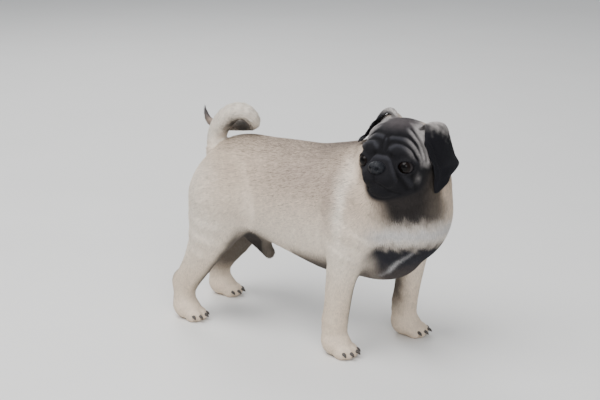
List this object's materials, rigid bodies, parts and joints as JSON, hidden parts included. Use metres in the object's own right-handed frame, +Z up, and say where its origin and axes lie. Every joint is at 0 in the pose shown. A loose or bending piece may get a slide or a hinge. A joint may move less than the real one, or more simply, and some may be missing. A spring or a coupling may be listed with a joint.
{
  "type": "pug dog figure",
  "caption": "Life-size still figure of a young fawn pug with a black mask, standing square with a curled tail and looking back over its right shoulder.",
  "frame": {"origin": "The middle of the standing dog's bounding box, on the floor under it.", "axes": "+X is the way the body faces, +Y is the dog's left and +Z is up. The head is turned to look along -Y."},
  "size_m": [0.401, 0.1664, 0.3078],
  "materials": {
    "coat_fawn": "short dense fawn fur, matte, paler below and greyer along the back",
    "coat_mask": "very short black fur on loose folded skin, with a faint sheen",
    "coat_ear": "black velvet fur, paler over the fold",
    "eye": "wet gloss, very dark brown",
    "nose": "moist black pebbled leather",
    "claw": "dull dark horn"
  },
  "bodies": {
    "root": {"torso": "coat_fawn", "neck": "coat_fawn", "tail": "coat_fawn", "fore_leg_left": "coat_fawn", "fore_leg_right": "coat_fawn", "hind_leg_left": "coat_fawn", "hind_leg_right": "coat_fawn", "head": "coat_mask", "ear_left": "coat_ear", "ear_right": "coat_ear", "eye_left": "eye", "eye_right": "eye", "nose": "nose", "claw_fore_left_1": "claw", "claw_fore_left_2": "claw", "claw_fore_left_3": "claw", "claw_fore_left_4": "claw", "claw_fore_right_1": "claw", "claw_fore_right_2": "claw", "claw_fore_right_3": "claw", "claw_fore_right_4": "claw", "claw_hind_left_1": "claw", "claw_hind_left_2": "claw", "claw_hind_left_3": "claw", "claw_hind_left_4": "claw", "claw_hind_right_1": "claw", "claw_hind_right_2": "claw", "claw_hind_right_3": "claw", "claw_hind_right_4": "claw"}
  },
  "joints": []
}
